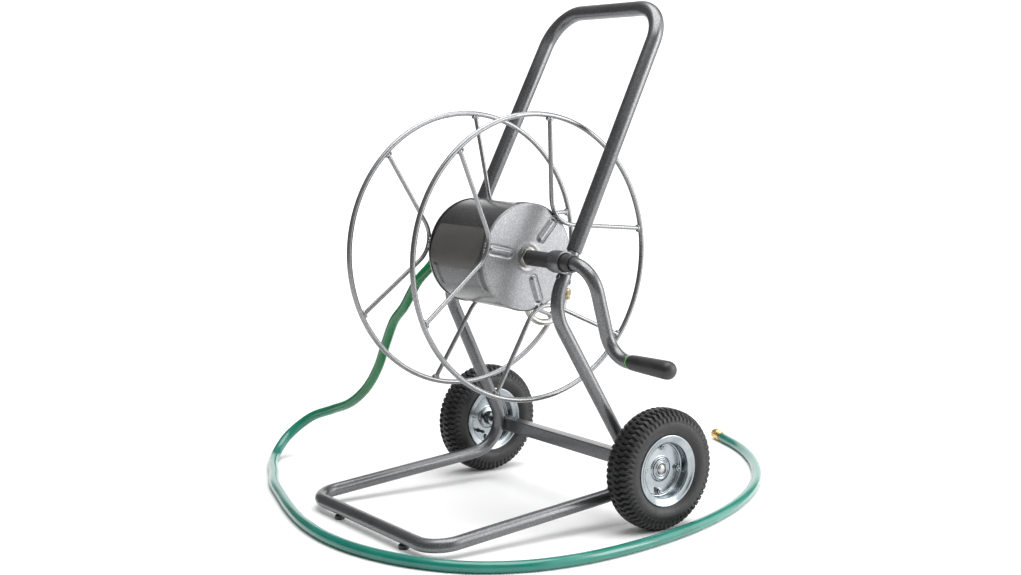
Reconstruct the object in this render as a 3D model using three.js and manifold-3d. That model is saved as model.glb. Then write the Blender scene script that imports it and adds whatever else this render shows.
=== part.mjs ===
// Garden hose reel cart: welded tube cart on two pneumatic wheels, with a hand-cranked wire reel.
// Millimetres, +Z up.  +X is the crank side, -Y the front (base loop), +Y the wheels and push handle.
// Shapes are laid out about the reel axis first, then moved so that the origin is the middle of the
// footprint at floor level.
import * as THREE from 'three';
import { mergeVertices } from 'three/addons/utils/BufferGeometryUtils.js';
import Module from 'manifold-3d';

// ---------------------------------------------------------------- driving dimensions
const GAP = 0.3;                    // clearance between touching pieces
const SHIFT = [-68.5, 5.1, 481.0];  // reel axis centre -> footprint centre at floor
const FLOOR = -481.0;               // floor height below the reel axis

const TUBE_R = 12.2;                // lower frame tube
const HANDLE_R = 14.1;              // push handle tube, slides over the frame tube
const HUB_X = 164.8;                // frame tube distance from the centre plane at the hubs
const HANDLE_TOP = [156.7, 253.9, 451.7];
const HANDLE_SLOPE = 0.4829;        // rearward lean, dy/dz
const HANDLE_Y0 = 35.8;
const HANDLE_Z0 = 14;               // lower end of the handle tube
const HANDLE_BEND = 72;
const SEAM_Z = -24;                 // top end of the lower frame tube
const KNEE = [-3.6, -81.8];         // y, z of the forward knee
const LEG_X = 203.5;                // frame tube distance from the centre plane at the wheels
const LEG_FOOT = [185, -416];       // y, z of the sharp corner of leg and base
const FRONT = [206.4, -275.2, -460.6];
const LEG_BEND = 60, KNEE_BEND = 85, FRONT_BEND = 48;

const SLEEVE_R = 20.2, SLEEVE_BORE = 16.3, BUSH_R = 15.7, BUSH_FLANGE_R = 18.6, SPACER_R = 14.0;
// bearing sleeve on each hub: inner end, outer end, and where its bush ends
const SLEEVES = { right: [168, 196, 217], left: [152, 180, 181.5] };
const SHAFT_R = 12.2;
const AXLE_Y = 167.2, AXLE_Z = -371.0, AXLE_R = 6.0, AXLE_LEN = 544.8;
const CROSS_W = 25.4, CROSS_WALL = 2.2, CROSS_HALF = 203;

const RING_R = 254.4, RING_WIRE = 4.75, RING_X = 105.1;
const SPOKE_R = 4.0, SPOKE_APEX_R = 99, SPOKE_CORNER_R = 78, SPOKE_BEND = 55;
// each spoke is a bent rod: angles of its two ends and its apex, from the rear, turning up
const SPOKES = {
  right: { a: [10.6, 48.5, 82.8], b: [130.3, 167.7, 204.0], c: [251.9, 288, 322.5] },
  left: { a: [14.8, 50.5, 85.8], b: [134.4, 169.8, 206.0], c: [254.5, 290, 325.5] },
};
const DRUM_R = 96, DRUM_WALL = 1.6, DRUM_X = 86.0;
const DISC_R = 97.3, DISC_T = 1.8, DISC_X = 86.3;
const SPOKE_X = DISC_X + DISC_T + SPOKE_R + GAP;         // apex plane

const HUB_FLANGE_R = 19.0;
const WHEEL_X = 264.6, TYRE_R = 110, TYRE_HALF = 30, FLANGE_R = 64.8, FLANGE_X = 24.7;
const BEAD_R = 52, BOLT_PCR = 40, BOLT_TURN = -4;

const HOSE_R = 10;

// ---------------------------------------------------------------- geometry helpers
const wasm = await Module();
wasm.setup();

// one closed skin: shared vertices merged, triangles of no area dropped
function weld(g) {
  g.deleteAttribute('normal');
  g.deleteAttribute('uv');
  const m = mergeVertices(g, 1e-4), idx = m.index.array, keep = [];
  for (let i = 0; i < idx.length; i += 3) {
    const [p, q, r] = [idx[i], idx[i + 1], idx[i + 2]];
    if (p !== q && q !== r && r !== p) keep.push(p, q, r);
  }
  m.setIndex(keep);
  return m;
}
// turned over if its faces point in
function faceOut(g) {
  const p = g.attributes.position, idx = g.index.array;
  const a = new THREE.Vector3(), b = new THREE.Vector3(), c = new THREE.Vector3();
  let v = 0;
  for (let i = 0; i < idx.length; i += 3) {
    a.fromBufferAttribute(p, idx[i]); b.fromBufferAttribute(p, idx[i + 1]); c.fromBufferAttribute(p, idx[i + 2]);
    v += a.dot(b.cross(c));
  }
  if (v < 0) for (let i = 0; i < idx.length; i += 3) [idx[i], idx[i + 1]] = [idx[i + 1], idx[i]];
  return g;
}

function solid(g) {
  return new wasm.Manifold(new wasm.Mesh({
    numProp: 3,
    vertProperties: new Float32Array(g.attributes.position.array),
    triVerts: new Uint32Array(g.index.array),
  }));
}
function back(m) {
  const q = m.getMesh();
  const g = new THREE.BufferGeometry();
  const n = q.vertProperties.length / q.numProp, p = new Float32Array(n * 3);
  for (let i = 0; i < n; i++) for (let k = 0; k < 3; k++) p[3 * i + k] = q.vertProperties[i * q.numProp + k];
  g.setAttribute('position', new THREE.BufferAttribute(p, 3));
  g.setIndex(new THREE.BufferAttribute(new Uint32Array(q.triVerts), 1));
  return g;
}
const join = (...gs) => back(gs.map(solid).reduce((a, b) => a.add(b)));
const cut = (g, ...hs) => back(hs.map(solid).reduce((a, b) => a.subtract(b), solid(g)));

// turns a shape made about +Y so that its axis lies along dir from origin
function place(g, origin, dir) {
  const q = new THREE.Quaternion().setFromUnitVectors(new THREE.Vector3(0, 1, 0), new THREE.Vector3(...dir).normalize());
  g.applyQuaternion(q);
  g.translate(...origin);
  return g;
}
// profile: [axial, radius] pairs; a closed loop, or open when it starts and ends on the axis
function revolve(profile, n, origin = [0, 0, 0], dir = [1, 0, 0]) {
  const pts = profile.map(([a, r]) => new THREE.Vector2(r, a));
  if (profile[0][1] !== 0) pts.push(pts[0].clone());
  return place(faceOut(weld(new THREE.LatheGeometry(pts, n))), origin, dir);
}
const rod = (r, a, b, n = 12) => {
  const A = new THREE.Vector3(...a), B = new THREE.Vector3(...b), L = A.distanceTo(B);
  return place(faceOut(weld(new THREE.CylinderGeometry(r, r, L, n))), A.clone().add(B).multiplyScalar(0.5).toArray(), B.clone().sub(A).toArray());
};
function box(cx, cy, cz, sx, sy, sz) {
  return faceOut(weld(new THREE.BoxGeometry(sx, sy, sz).translate(cx, cy, cz)));
}

// centre line with rounded corners: points, bend radius at each inner point, step in degrees
function fillet(pts, radii, step = 12) {
  const P = pts.map(p => new THREE.Vector3(...p)), out = [P[0].clone()];
  for (let i = 1; i < P.length - 1; i++) {
    const a = P[i - 1].clone().sub(P[i]).normalize(), b = P[i + 1].clone().sub(P[i]).normalize();
    const ang = Math.PI - a.angleTo(b), R = radii[i - 1], t = R * Math.tan(ang / 2);
    const s = P[i].clone().addScaledVector(a, t);
    const bis = a.clone().add(b).normalize();
    const C = P[i].clone().addScaledVector(bis, R / Math.cos(ang / 2));
    const n = Math.max(2, Math.ceil(ang * 180 / Math.PI / step));
    const e0 = s.clone().sub(C).normalize();
    const axis = new THREE.Vector3().crossVectors(a.clone().negate(), b).normalize();
    for (let k = 0; k <= n; k++) out.push(C.clone().addScaledVector(e0.clone().applyAxisAngle(axis, ang * k / n), R));
  }
  out.push(P[P.length - 1].clone());
  return out.map(p => p.toArray());
}

// a route through given stations, one extrusion step from each to the next
class Route extends THREE.Curve {
  constructor(line) {
    super();
    this.P = line.map(p => new THREE.Vector3(...p));
    const N = this.P.length;
    this.T = this.P.map((p, i) => {
      const d1 = p.clone().sub(this.P[Math.max(i - 1, 0)]), d2 = this.P[Math.min(i + 1, N - 1)].clone().sub(p);
      if (d1.lengthSq() > 0) d1.normalize();
      if (d2.lengthSq() > 0) d2.normalize();
      return d1.add(d2).normalize();
    });
  }
  station(t) { return Math.round(t * (this.P.length - 1)); }
  getPoint(t, out = new THREE.Vector3()) { return out.copy(this.P[this.station(t)]); }
  getPointAt(t, out) { return this.getPoint(t, out); }
  getTangent(t, out = new THREE.Vector3()) { return out.copy(this.T[this.station(t)]); }
  getTangentAt(t, out) { return this.getTangent(t, out); }
}
const section = (r, n) => new THREE.Shape(Array.from({ length: n }, (_, k) => new THREE.Vector2(r * Math.cos(2 * Math.PI * k / n), r * Math.sin(2 * Math.PI * k / n))));
// round section extruded along a centre line, square ends
function sweep(line, radius, n = 12) {
  return faceOut(weld(new THREE.ExtrudeGeometry(section(radius, n), { steps: line.length - 1, bevelEnabled: false, extrudePath: new Route(line) })));
}
// wire ring about the reel axis
const hoop = (x, R, r, n, m) => faceOut(weld(new THREE.TorusGeometry(R, r, m, n).rotateY(Math.PI / 2).translate(x, 0, 0)));
// pressed rib with round ends, from a to b
function rib(a, b, r) {
  const A = new THREE.Vector3(...a), B = new THREE.Vector3(...b), L = A.distanceTo(B);
  return place(faceOut(weld(new THREE.CapsuleGeometry(r, L, 2, 10))), A.clone().add(B).multiplyScalar(0.5).toArray(), B.clone().sub(A).toArray());
}
const sum = (a, b, k = 1) => a.map((q, i) => q + b[i] * k);
const unit = (a, b) => new THREE.Vector3(...b).sub(new THREE.Vector3(...a)).normalize().toArray();

// ---------------------------------------------------------------- materials and group
const mats = {
  frame: { color: 0x55565a, roughness: 0.45, metalness: 0.6 },
  wire: { color: 0x6b6c70, roughness: 0.42, metalness: 0.6 },
  black: { color: 0x161617, roughness: 0.55, metalness: 0.0 },
  rubber: { color: 0x1b1b1c, roughness: 0.85, metalness: 0.0 },
  zinc: { color: 0xb9c3c6, roughness: 0.3, metalness: 0.9 },
  steel: { color: 0x9a9c9e, roughness: 0.35, metalness: 0.9 },
  brass: { color: 0xc2953f, roughness: 0.3, metalness: 0.9 },
  hose: { color: 0x0a8a58, roughness: 0.35, metalness: 0.0 },
  green: { color: 0x3f8f3a, roughness: 0.5, metalness: 0.0 },
};
const group = new THREE.Group();
group.name = 'garden_hose_reel_cart';
function add(name, g, m) {
  g.translate(...SHIFT);
  g.computeVertexNormals();
  const mesh = new THREE.Mesh(g, new THREE.MeshStandardMaterial(mats[m]));
  mesh.name = name;
  group.add(mesh);
}
const side = s => (s > 0 ? 'right' : 'left');

// ---------------------------------------------------------------- push handle and frame
const onHandle = (s, z) => {
  const k = z / HANDLE_TOP[2];
  return [s * (HUB_X + (HANDLE_TOP[0] - HUB_X) * k), HANDLE_Y0 + HANDLE_SLOPE * z, z];
};
const STUB_LEN = 44;
{
  const line = fillet([onHandle(1, HANDLE_Z0), HANDLE_TOP, [-HANDLE_TOP[0], HANDLE_TOP[1], HANDLE_TOP[2]], onHandle(-1, HANDLE_Z0)],
    [HANDLE_BEND, HANDLE_BEND], 9);
  let g = sweep(line, HANDLE_R, 12);
  for (const s of [1, -1]) g = cut(g, rod(TUBE_R + GAP, onHandle(s, HANDLE_Z0 - 3), onHandle(s, HANDLE_Z0 + STUB_LEN + 1), 14));
  add('upper_handle', g, 'frame');
}
const SPIGOT_R = 10.4, SPIGOT_LEN = 34;
const boltPoint = s => onHandle(s, SEAM_Z - 9);
const boltDir = s => [0, 0.9005, -0.4349];            // square to the frame tube, in the fore-and-aft plane
for (const s of [1, -1]) {
  const d = unit(onHandle(s, 0), onHandle(s, 100));
  const top = onHandle(s, HANDLE_Z0 + STUB_LEN - 4), seam = onHandle(s, SEAM_Z + GAP);
  const spig = sum(seam, d, -SPIGOT_LEN), [in0, out0] = SLEEVES[side(s)];
  let g = join(rod(TUBE_R, seam, top, 14), rod(SPIGOT_R, spig, sum(seam, d, 2), 12),
    rod(SLEEVE_R, [s * in0, 0, 0], [s * out0, 0, 0], 18),
    rod(6, sum([s * (in0 + 10), 0, 0], boltDir(s), 18.5), sum([s * (HUB_X + 6), 0, 0], boltDir(s), 27), 12));
  const bp = boltPoint(s), bd = boltDir(s);
  g = cut(g, rod(SLEEVE_BORE, [s * (in0 - 5), 0, 0], [s * (out0 + 5), 0, 0], 18),
    rod(3.3, sum(bp, bd, -30), sum(bp, bd, 30), 10));
  add('hub_bracket_' + side(s), g, 'frame');
  add('joint_bolt_' + side(s), revolve([[-14.6, 0], [-14.6, 5], [-13.0 - GAP, 5], [-13.0 - GAP, 3], [13.3, 3], [13.3, 6], [15.5, 5.6], [17.2, 3.6], [17.7, 0]], 10, bp, bd), 'steel');
}
const frameLine = (() => {
  const half = s => [onHandle(s, SEAM_Z), [s * HUB_X, KNEE[0], KNEE[1]], [s * LEG_X, LEG_FOOT[0], LEG_FOOT[1]], [s * FRONT[0], FRONT[1], FRONT[2]]];
  const a = half(1), b = half(-1).reverse();
  return fillet([...a, ...b], [KNEE_BEND, LEG_BEND, FRONT_BEND, FRONT_BEND, LEG_BEND, KNEE_BEND], 15);
})();
{
  let g = sweep(frameLine, TUBE_R, 10);
  for (const s of [1, -1]) {
    const d = unit(onHandle(s, 0), onHandle(s, 100)), seam = onHandle(s, SEAM_Z), bp = boltPoint(s), bd = boltDir(s);
    g = cut(g, rod(SPIGOT_R + GAP, sum(seam, d, -SPIGOT_LEN - 1), sum(seam, d, 2), 12), rod(3.3, sum(bp, bd, -30), sum(bp, bd, 30), 10));
  }
  add('lower_frame', g, 'frame');
}
// cross tube welded behind the two legs, end coped round them
{
  let g = box(0, AXLE_Y, AXLE_Z, 2 * CROSS_HALF, CROSS_W, CROSS_W);
  g = cut(g, box(0, AXLE_Y, AXLE_Z, 2 * CROSS_HALF + 20, CROSS_W - 2 * CROSS_WALL, CROSS_W - 2 * CROSS_WALL), sweep(frameLine, TUBE_R + GAP + 0.05, 10));
  add('axle_cross_tube', g, 'frame');
}
add('wheel_axle', revolve([[-AXLE_LEN / 2, 0], [-AXLE_LEN / 2, AXLE_R - 1], [-AXLE_LEN / 2 + 1, AXLE_R], [AXLE_LEN / 2 - 1, AXLE_R], [AXLE_LEN / 2, AXLE_R - 1], [AXLE_LEN / 2, 0]],
  12, [0, AXLE_Y, AXLE_Z]), 'steel');
for (const [s, x] of [[1, 115.7], [-1, -102.3]]) {
  const top = FRONT[2] - TUBE_R - GAP;
  add('front_foot_' + side(s), revolve([[0, 0], [0, 8], [1.5, 9.5], [top - FLOOR, 9.5], [top - FLOOR, 0]], 16, [x, FRONT[1], FLOOR], [0, 0, 1]), 'black');
}
for (const s of [1, -1]) {
  const [in0, , end0] = SLEEVES[side(s)];
  add('bearing_bush_' + side(s), revolve([[in0 - 9, SHAFT_R + GAP], [in0 - 9, 16.6], [in0 - 7, BUSH_FLANGE_R], [in0 - GAP, BUSH_FLANGE_R], [in0 - GAP, BUSH_R], [end0, BUSH_R], [end0, SHAFT_R + GAP]],
    18, [0, 0, 0], [s, 0, 0]), 'black');
}

// ---------------------------------------------------------------- reel
for (const s of [1, -1]) {
  add('ring_' + side(s), hoop(s * RING_X, RING_R, RING_WIRE, 48, 7), 'wire');
  for (const k of ['a', 'b', 'c']) {
    const [e1, ap, e2] = SPOKES[side(s)][k].map(d => d * Math.PI / 180), rEnd = RING_R - RING_WIRE - GAP - 1.3;
    const flat = fillet([[rEnd * Math.cos(e1), rEnd * Math.sin(e1), 0], [SPOKE_CORNER_R * Math.cos(ap), SPOKE_CORNER_R * Math.sin(ap), 0], [rEnd * Math.cos(e2), rEnd * Math.sin(e2), 0]], [SPOKE_BEND], 14);
    const x = r => SPOKE_X + (RING_X - SPOKE_X) * Math.max(0, r - SPOKE_APEX_R) / (rEnd - SPOKE_APEX_R);
    add(`spoke_${side(s)}_${k}`, sweep(flat.map(([p, q]) => [s * x(Math.hypot(p, q)), p, q]), SPOKE_R, 8), 'wire');
  }
}
add('drum_shell', revolve([[-DRUM_X, DRUM_R - DRUM_WALL], [-DRUM_X, DRUM_R], [DRUM_X, DRUM_R], [DRUM_X, DRUM_R - DRUM_WALL]], 40), 'wire');
for (const s of [1, -1]) {
  let g = revolve([[DISC_X, SHAFT_R + GAP], [DISC_X, DISC_R], [DISC_X + DISC_T, DISC_R], [DISC_X + DISC_T, SHAFT_R + GAP]], 40, [0, 0, 0], [s, 0, 0]);
  for (const k of ['a', 'b', 'c']) {
    const c = SPOKES[side(s)][k][1] * Math.PI / 180;
    const at = r => [s * (DISC_X + DISC_T - 3.4), r * Math.cos(c), r * Math.sin(c)];
    g = join(g, cut(rib(at(43), at(81), 6.2), box(s * (DISC_X - 10 + 0.4), 0, 0, 20, 220, 220)));
  }
  add('drum_disc_' + side(s), g, 'wire');
  add('hub_washer_' + side(s), cut(revolve([[0, 0], [0, 20], [5, 20], [6, 18.5], [6, 0]], 6, [s * (DISC_X + DISC_T + GAP), 0, 0], [s, 0, 0]),
    rod(SHAFT_R + GAP, [s * DISC_X, 0, 0], [s * (DISC_X + 20), 0, 0], 16)), 'steel');
  const spacer = SLEEVES[side(s)][0] - 9 - GAP - (DISC_X + DISC_T + 6 + 2 * GAP);
  add('shaft_sleeve_' + side(s), revolve([[0, SHAFT_R + GAP], [0, SPACER_R], [spacer, SPACER_R], [spacer, SHAFT_R + GAP]], 18,
    [s * (DISC_X + DISC_T + 6 + 2 * GAP), 0, 0], [s, 0, 0]), 'black');
}
const SHAFT_L = -183, SHAFT_R_END = 140;
add('reel_shaft', revolve([[SHAFT_L, 0], [SHAFT_L, SHAFT_R], [SHAFT_R_END, SHAFT_R], [SHAFT_R_END, 0]], 16), 'frame');
// outlet gooseneck: out of the lower drum wall, round underneath and up behind it
const GOOSE_X = 66;
{
  const line = fillet([[GOOSE_X, 14, -80], [GOOSE_X, 14, -123.5], [GOOSE_X, 100, -123.5], [GOOSE_X, 102, -81]], [42.5, 41], 15);
  add('gooseneck_tube', cut(sweep(line, 6, 10), rod(DRUM_R + GAP, [GOOSE_X - 30, 0, 0], [GOOSE_X + 30, 0, 0], 48)), 'steel');
  const outletDir = unit([GOOSE_X, 100, -123.5], [GOOSE_X, 102, -81]);
  add('outlet_fitting', revolve([[0, 6.6], [0, 10.6], [6, 10.6], [6, 9.5], [7, 9.5], [7, 12.4], [19, 12.4], [20, 11.4], [20, 8.5], [9, 8.5], [9, 6.6]], 12, [GOOSE_X, 101.86, -84], outletDir), 'brass');
}
// crank: straight through the bearing, down and outward to the grip
const CRANK_R = 12.0, GRIP_Y = 39, GRIP_Z = -158.5, GRIP_X0 = 322.6, GRIP_LEN = 109;
{
  const line = fillet([[SHAFT_R_END + GAP, 0, 0], [267, 0, 0], [278, GRIP_Y, GRIP_Z], [GRIP_X0, GRIP_Y, GRIP_Z]], [52, 46], 11);
  add('crank_arm', join(sweep(line, CRANK_R, 14), rod(6, [GRIP_X0 - 3, GRIP_Y, GRIP_Z], [GRIP_X0 + 84, GRIP_Y, GRIP_Z], 12)), 'frame');
}
const gripAt = [GRIP_X0, GRIP_Y, GRIP_Z];
add('grip_ring', revolve([[GAP, 6 + GAP], [GAP, 11.4], [3.2, 11.4], [3.2, 6 + GAP]], 20, gripAt), 'green');
add('grip', revolve([[86, 0], [86, 6 + GAP], [3.2 + GAP, 6 + GAP], [3.2 + GAP, 11.6], [8, 12.6], [24, 13.4], [55, 14.4], [86, 15.5], [96, 15.6], [102, 13.8], [107, 9.4], [GRIP_LEN, 4.2], [GRIP_LEN, 0]], 20, gripAt), 'black');

// ---------------------------------------------------------------- wheels
for (const s of [1, -1]) {
  const c = [s * WHEEL_X, AXLE_Y, AXLE_Z], X = [s, 0, 0], nm = side(s);
  const out = [[20.0, BEAD_R + 1], [20.5, 59.3], [23.4, 65.2], [TYRE_HALF - 1.6, 71.5], [TYRE_HALF, 83], [TYRE_HALF - 3, 98], [TYRE_HALF - 10, 106.5], [TYRE_HALF - 20, TYRE_R]];
  const inn = [[15.5, BEAD_R + 1], [17, 63], [24.5, 80], [18, 98], [0, 103]];
  const flip = a => a.map(([p, q]) => [-p, q]).reverse();
  const loop = [...out, ...flip(out), ...inn.slice(0, 4).map(([p, q]) => [-p, q]), inn[4], ...inn.slice(0, 4).reverse()];
  add('tyre_' + nm, revolve(loop, 30, c, X), 'rubber');
  for (const [o, tag] of [[1, 'outer'], [-1, 'inner']]) {
    const prof = [[0.2, HUB_FLANGE_R + 0.6], [0.2, 48.4], [3.6, 50.8], [20.5, BEAD_R], [21.2, 59.5], [FLANGE_X - 0.6, FLANGE_R - 0.6], [FLANGE_X, FLANGE_R - 2.8], [22.4, 50.2], [5.4, 49.0], [2.2, 47.2], [2.2, HUB_FLANGE_R + 0.6]];
    let g = revolve(prof, 24, c, [s * o, 0, 0]);
    const holes = [0, 90, 180, 270].map(d => {
      const t = (d + BOLT_TURN) * Math.PI / 180, p = [c[0], c[1] + BOLT_PCR * Math.cos(t), c[2] + BOLT_PCR * Math.sin(t)];
      return rod(3.4, sum(p, X, -12), sum(p, X, 12), 6);
    });
    add(`rim_${tag}_${nm}`, cut(g, ...holes), 'zinc');
  }
  [0, 90, 180, 270].forEach((d, i) => {
    const t = (d + BOLT_TURN) * Math.PI / 180, p = [c[0], c[1] + BOLT_PCR * Math.cos(t), c[2] + BOLT_PCR * Math.sin(t)];
    add(`rim_bolt_${nm}_${i + 1}`, revolve([[-6.6, 0], [-6.6, 5.6], [-2.5, 5.6], [-2.5, 2.9], [2.5, 2.9], [2.5, 5.9], [7.4, 5.9], [7.4, 0]], 6, p, X), 'steel');
  });
  add('wheel_hub_' + nm, revolve([[-22, AXLE_R + GAP], [-22, 14], [-6, 14], [-6, HUB_FLANGE_R], [6, HUB_FLANGE_R], [6, 16.5], [4.5, 16], [4.5, AXLE_R + GAP]], 20, c, X), 'zinc');
  const vt = 226 * Math.PI / 180, vp = [c[0] - s * 4, c[1] + 35 * Math.cos(vt), c[2] + 35 * Math.sin(vt)];
  add('valve_stem_' + nm, revolve([[-1.4, 0], [-1.4, 3.6], [3, 3.6], [4, 2.6], [15, 2.6], [15, 3.1], [21, 3.1], [21, 0]], 10, vp, [-s, 0, 0]), 'black');
  add('axle_cap_' + nm, revolve([[8.2, 0], [8.2, AXLE_R + GAP], [4.9, AXLE_R + GAP], [4.9, 8.5], [6.8, 8.5], [8.8, 7.2], [9.6, 4.8], [9.6, 0]], 16, c, X), 'steel');
}

// ---------------------------------------------------------------- water inlet and hose
const IN_X = -194.5, SPOUT_LEN = 16, FERRULE_LEN = 8;
const exit = unit([0, 0, 0], [0, -0.45, -0.893]);
{
  // swivel elbow: collar over the shaft end, outlet pointing down
  const body = join(rod(13, [IN_X + 11.2, 0, 0], [IN_X - 11, 0, 0], 20), rod(9.5, [IN_X, 0, 0], sum([IN_X, 0, 0], exit, SPOUT_LEN), 16));
  add('inlet_elbow', body, 'brass');
}
const nut0 = sum([IN_X, 0, 0], exit, SPOUT_LEN + GAP);
add('inlet_coupling', revolve([[0, 0], [0, 10.2], [0.8, 11], [FERRULE_LEN - 0.8, 11], [FERRULE_LEN, 10.2], [FERRULE_LEN, 0]], 16, nut0, exit), 'brass');
const hose0 = sum([IN_X, 0, 0], exit, SPOUT_LEN + FERRULE_LEN + 2 * GAP);
const HOSE_ROUTE = [
  hose0, sum(hose0, exit, 8), sum(hose0, exit, 16), [-214, -37, -68], [-238, -38, -96], [-266, -37.3, -127], [-301, -38, -158], [-334.6, -36, -206.6], [-365.4, -36, -261.9], [-402.9, -41.1, -310.8],
  [-451, -51, -348.8], [-511.5, -61.7, -373.2], [-566.5, -83.6, -397.4], [-586.6, -125.4, -434.6], [-560.3, -168.6, -463.5],
  [-507, -203.6, -471], [-444.8, -233.2, -471], [-362.7, -273.6, -471], [-270.8, -305.4, -471], [-177.4, -335.2, -471], [-82.8, -358.1, -471], [13.1, -367.4, -471],
  [110, -356.5, -471], [205.1, -320.4, -471], [282.1, -261.1, -471], [328.9, -183.1, -471], [349.8, -92.1, -471], [351.4, 5.8, -471], [340, 104.9, -471],
  [318.8, 202.1, -471], [287.8, 296, -471], [247.6, 385.6, -471], [198.3, 469.6, -471], [140.3, 546.9, -471], [73.8, 616.4, -471], [-0.9, 676.8, -471],
  [-83.5, 727.1, -471], [-158, 757, -470.2], [-176, 763.4, -469.6],
];
{
  const curve = new THREE.CatmullRomCurve3(HOSE_ROUTE.map(p => new THREE.Vector3(...p)), false, 'centripetal');
  curve.arcLengthDivisions = 1500;
  const mid = curve.getSpacedPoints(58).slice(1, -1).map(p => [p.x, p.y, Math.max(p.z, FLOOR + HOSE_R)]);
  const tail = HOSE_ROUTE[HOSE_ROUTE.length - 1], tailDir = unit(HOSE_ROUTE[HOSE_ROUTE.length - 2], tail);
  const line = [hose0, sum(hose0, exit, 8), ...mid, sum(tail, tailDir, -8), tail];
  add('hose', sweep(line, HOSE_R - 0.02, 10), 'hose');
  const e = HOSE_ROUTE[HOSE_ROUTE.length - 1], d = unit(HOSE_ROUTE[HOSE_ROUTE.length - 2], e);
  add('hose_ferrule', revolve([[2 * GAP, 0], [2 * GAP, 11], [13, 11.4], [16, 10.5], [16, 0]], 16, e, d), 'brass');
  add('hose_end_fitting', revolve([[16 + GAP, 0], [16 + GAP, 10.6], [18, 11.4], [33, 11.4], [34, 10.6], [34, 6.5], [20, 6.5], [20, 0]], 16, e, d), 'brass');
}

export default group;
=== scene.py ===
import math
import bpy
import numpy as np
from mathutils import Vector, Matrix

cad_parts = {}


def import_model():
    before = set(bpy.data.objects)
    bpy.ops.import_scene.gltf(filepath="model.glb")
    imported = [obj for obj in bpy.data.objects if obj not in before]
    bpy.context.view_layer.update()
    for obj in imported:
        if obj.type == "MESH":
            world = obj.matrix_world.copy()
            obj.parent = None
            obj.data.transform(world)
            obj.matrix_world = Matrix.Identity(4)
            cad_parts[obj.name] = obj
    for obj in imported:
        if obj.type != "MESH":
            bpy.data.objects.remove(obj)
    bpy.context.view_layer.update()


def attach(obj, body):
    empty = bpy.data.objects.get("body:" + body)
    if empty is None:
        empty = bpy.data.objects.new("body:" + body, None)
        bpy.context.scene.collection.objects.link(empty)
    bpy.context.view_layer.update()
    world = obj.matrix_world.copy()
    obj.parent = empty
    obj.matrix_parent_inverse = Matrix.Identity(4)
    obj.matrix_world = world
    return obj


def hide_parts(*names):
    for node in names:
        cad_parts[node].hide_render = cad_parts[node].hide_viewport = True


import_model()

# ------------------------------------------------------------------ shared frame
# Shapes are laid out in millimetres about the reel axis, as in the CAD, then moved to the row frame.
SHIFT = np.array([-68.5, 5.1, 481.0])
FLOOR = -481.0


def world(p):
    return (np.asarray(p, float) + SHIFT) / 1000.0


# ------------------------------------------------------------------ camera
cam_data = bpy.data.cameras.new("camera")
cam = bpy.data.objects.new("camera", cam_data)
bpy.context.scene.collection.objects.link(cam)
CAM_R = Vector((0.5929618, 0.8051111, 0.0138736))
CAM_U = Vector((-0.1019855, 0.0579991, 0.9930937))
CAM_B = Vector((0.7987461, -0.5902815, 0.1165009))
rot = Matrix((CAM_R, CAM_U, CAM_B)).transposed().to_4x4()
cam.matrix_world = Matrix.Translation(Vector(world((2107.23, -1530.01, 242.64)))) @ rot
cam_data.sensor_fit = "HORIZONTAL"
cam_data.sensor_width = 36.0
cam_data.lens = 50.258
cam_data.clip_start = 0.05
cam_data.clip_end = 60.0
bpy.context.scene.camera = cam

# ------------------------------------------------------------------ mesh helpers (millimetres in, metres out)


def mesh_object(name, parts, mat, body, replaces=(), angle=40, smooth=True):
    verts, faces, base = [], [], 0
    for v, f in parts:
        v = np.asarray(v, float)
        verts.append(v)
        faces += [tuple(int(i) + base for i in q) for q in f]
        base += len(v)
    v = world(np.vstack(verts))
    me = bpy.data.meshes.new(name)
    me.from_pydata([tuple(p) for p in v], [], faces)
    me.validate()
    me.update()
    if smooth:
        me.shade_smooth()
        me.set_sharp_from_angle(angle=math.radians(angle))
    me.materials.append(mat)
    ob = bpy.data.objects.new(name, me)
    bpy.context.scene.collection.objects.link(ob)
    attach(ob, body)
    if replaces:
        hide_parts(*replaces)
    return ob


def unit(v):
    v = np.asarray(v, float)
    return v / np.linalg.norm(v)


def basis(d):
    w = unit(d)
    ref = np.array([0.0, 1.0, 0.0]) if abs(w[2]) > 0.9 else np.array([0.0, 0.0, 1.0])
    u = unit(np.cross(ref, w))
    return u, np.cross(w, u), w


def revolve(profile, n=64, origin=(0, 0, 0), d=(1, 0, 0), flip=False):
    """profile of (axial, radius): closed loop, or open when it starts and ends on the axis"""
    u, v, w = basis(d)
    o = np.asarray(origin, float)
    t = 2 * np.pi * np.arange(n) / n
    ring = np.outer(np.cos(t), u) + np.outer(np.sin(t), v)
    verts, rows, faces = [], [], []
    k = 0
    open_ = profile[0][1] == 0
    for a, r in profile:
        if r == 0:
            verts.append((o + w * a)[None])
            rows.append([k])
            k += 1
        else:
            verts.append(o + w * a + ring * r)
            rows.append(list(range(k, k + n)))
            k += n
    m = len(rows)
    for i in range(m - 1 if open_ else m):
        A, B = rows[i], rows[(i + 1) % m]
        for j in range(n):
            q = (j + 1) % n
            if len(A) == 1 and len(B) == 1:
                continue
            if len(A) == 1:
                f = (A[0], B[q], B[j])
            elif len(B) == 1:
                f = (A[j], A[q], B[0])
            else:
                f = (A[j], A[q], B[q], B[j])
            faces.append(f)
    V = np.vstack(verts)
    # outward: signed volume
    vol = 0.0
    for f in faces:
        for i in range(1, len(f) - 1):
            vol += np.dot(V[f[0]] - o, np.cross(V[f[i]] - o, V[f[i + 1]] - o))
    if vol < 0:
        faces = [tuple(reversed(f)) for f in faces]
    return V, faces


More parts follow.
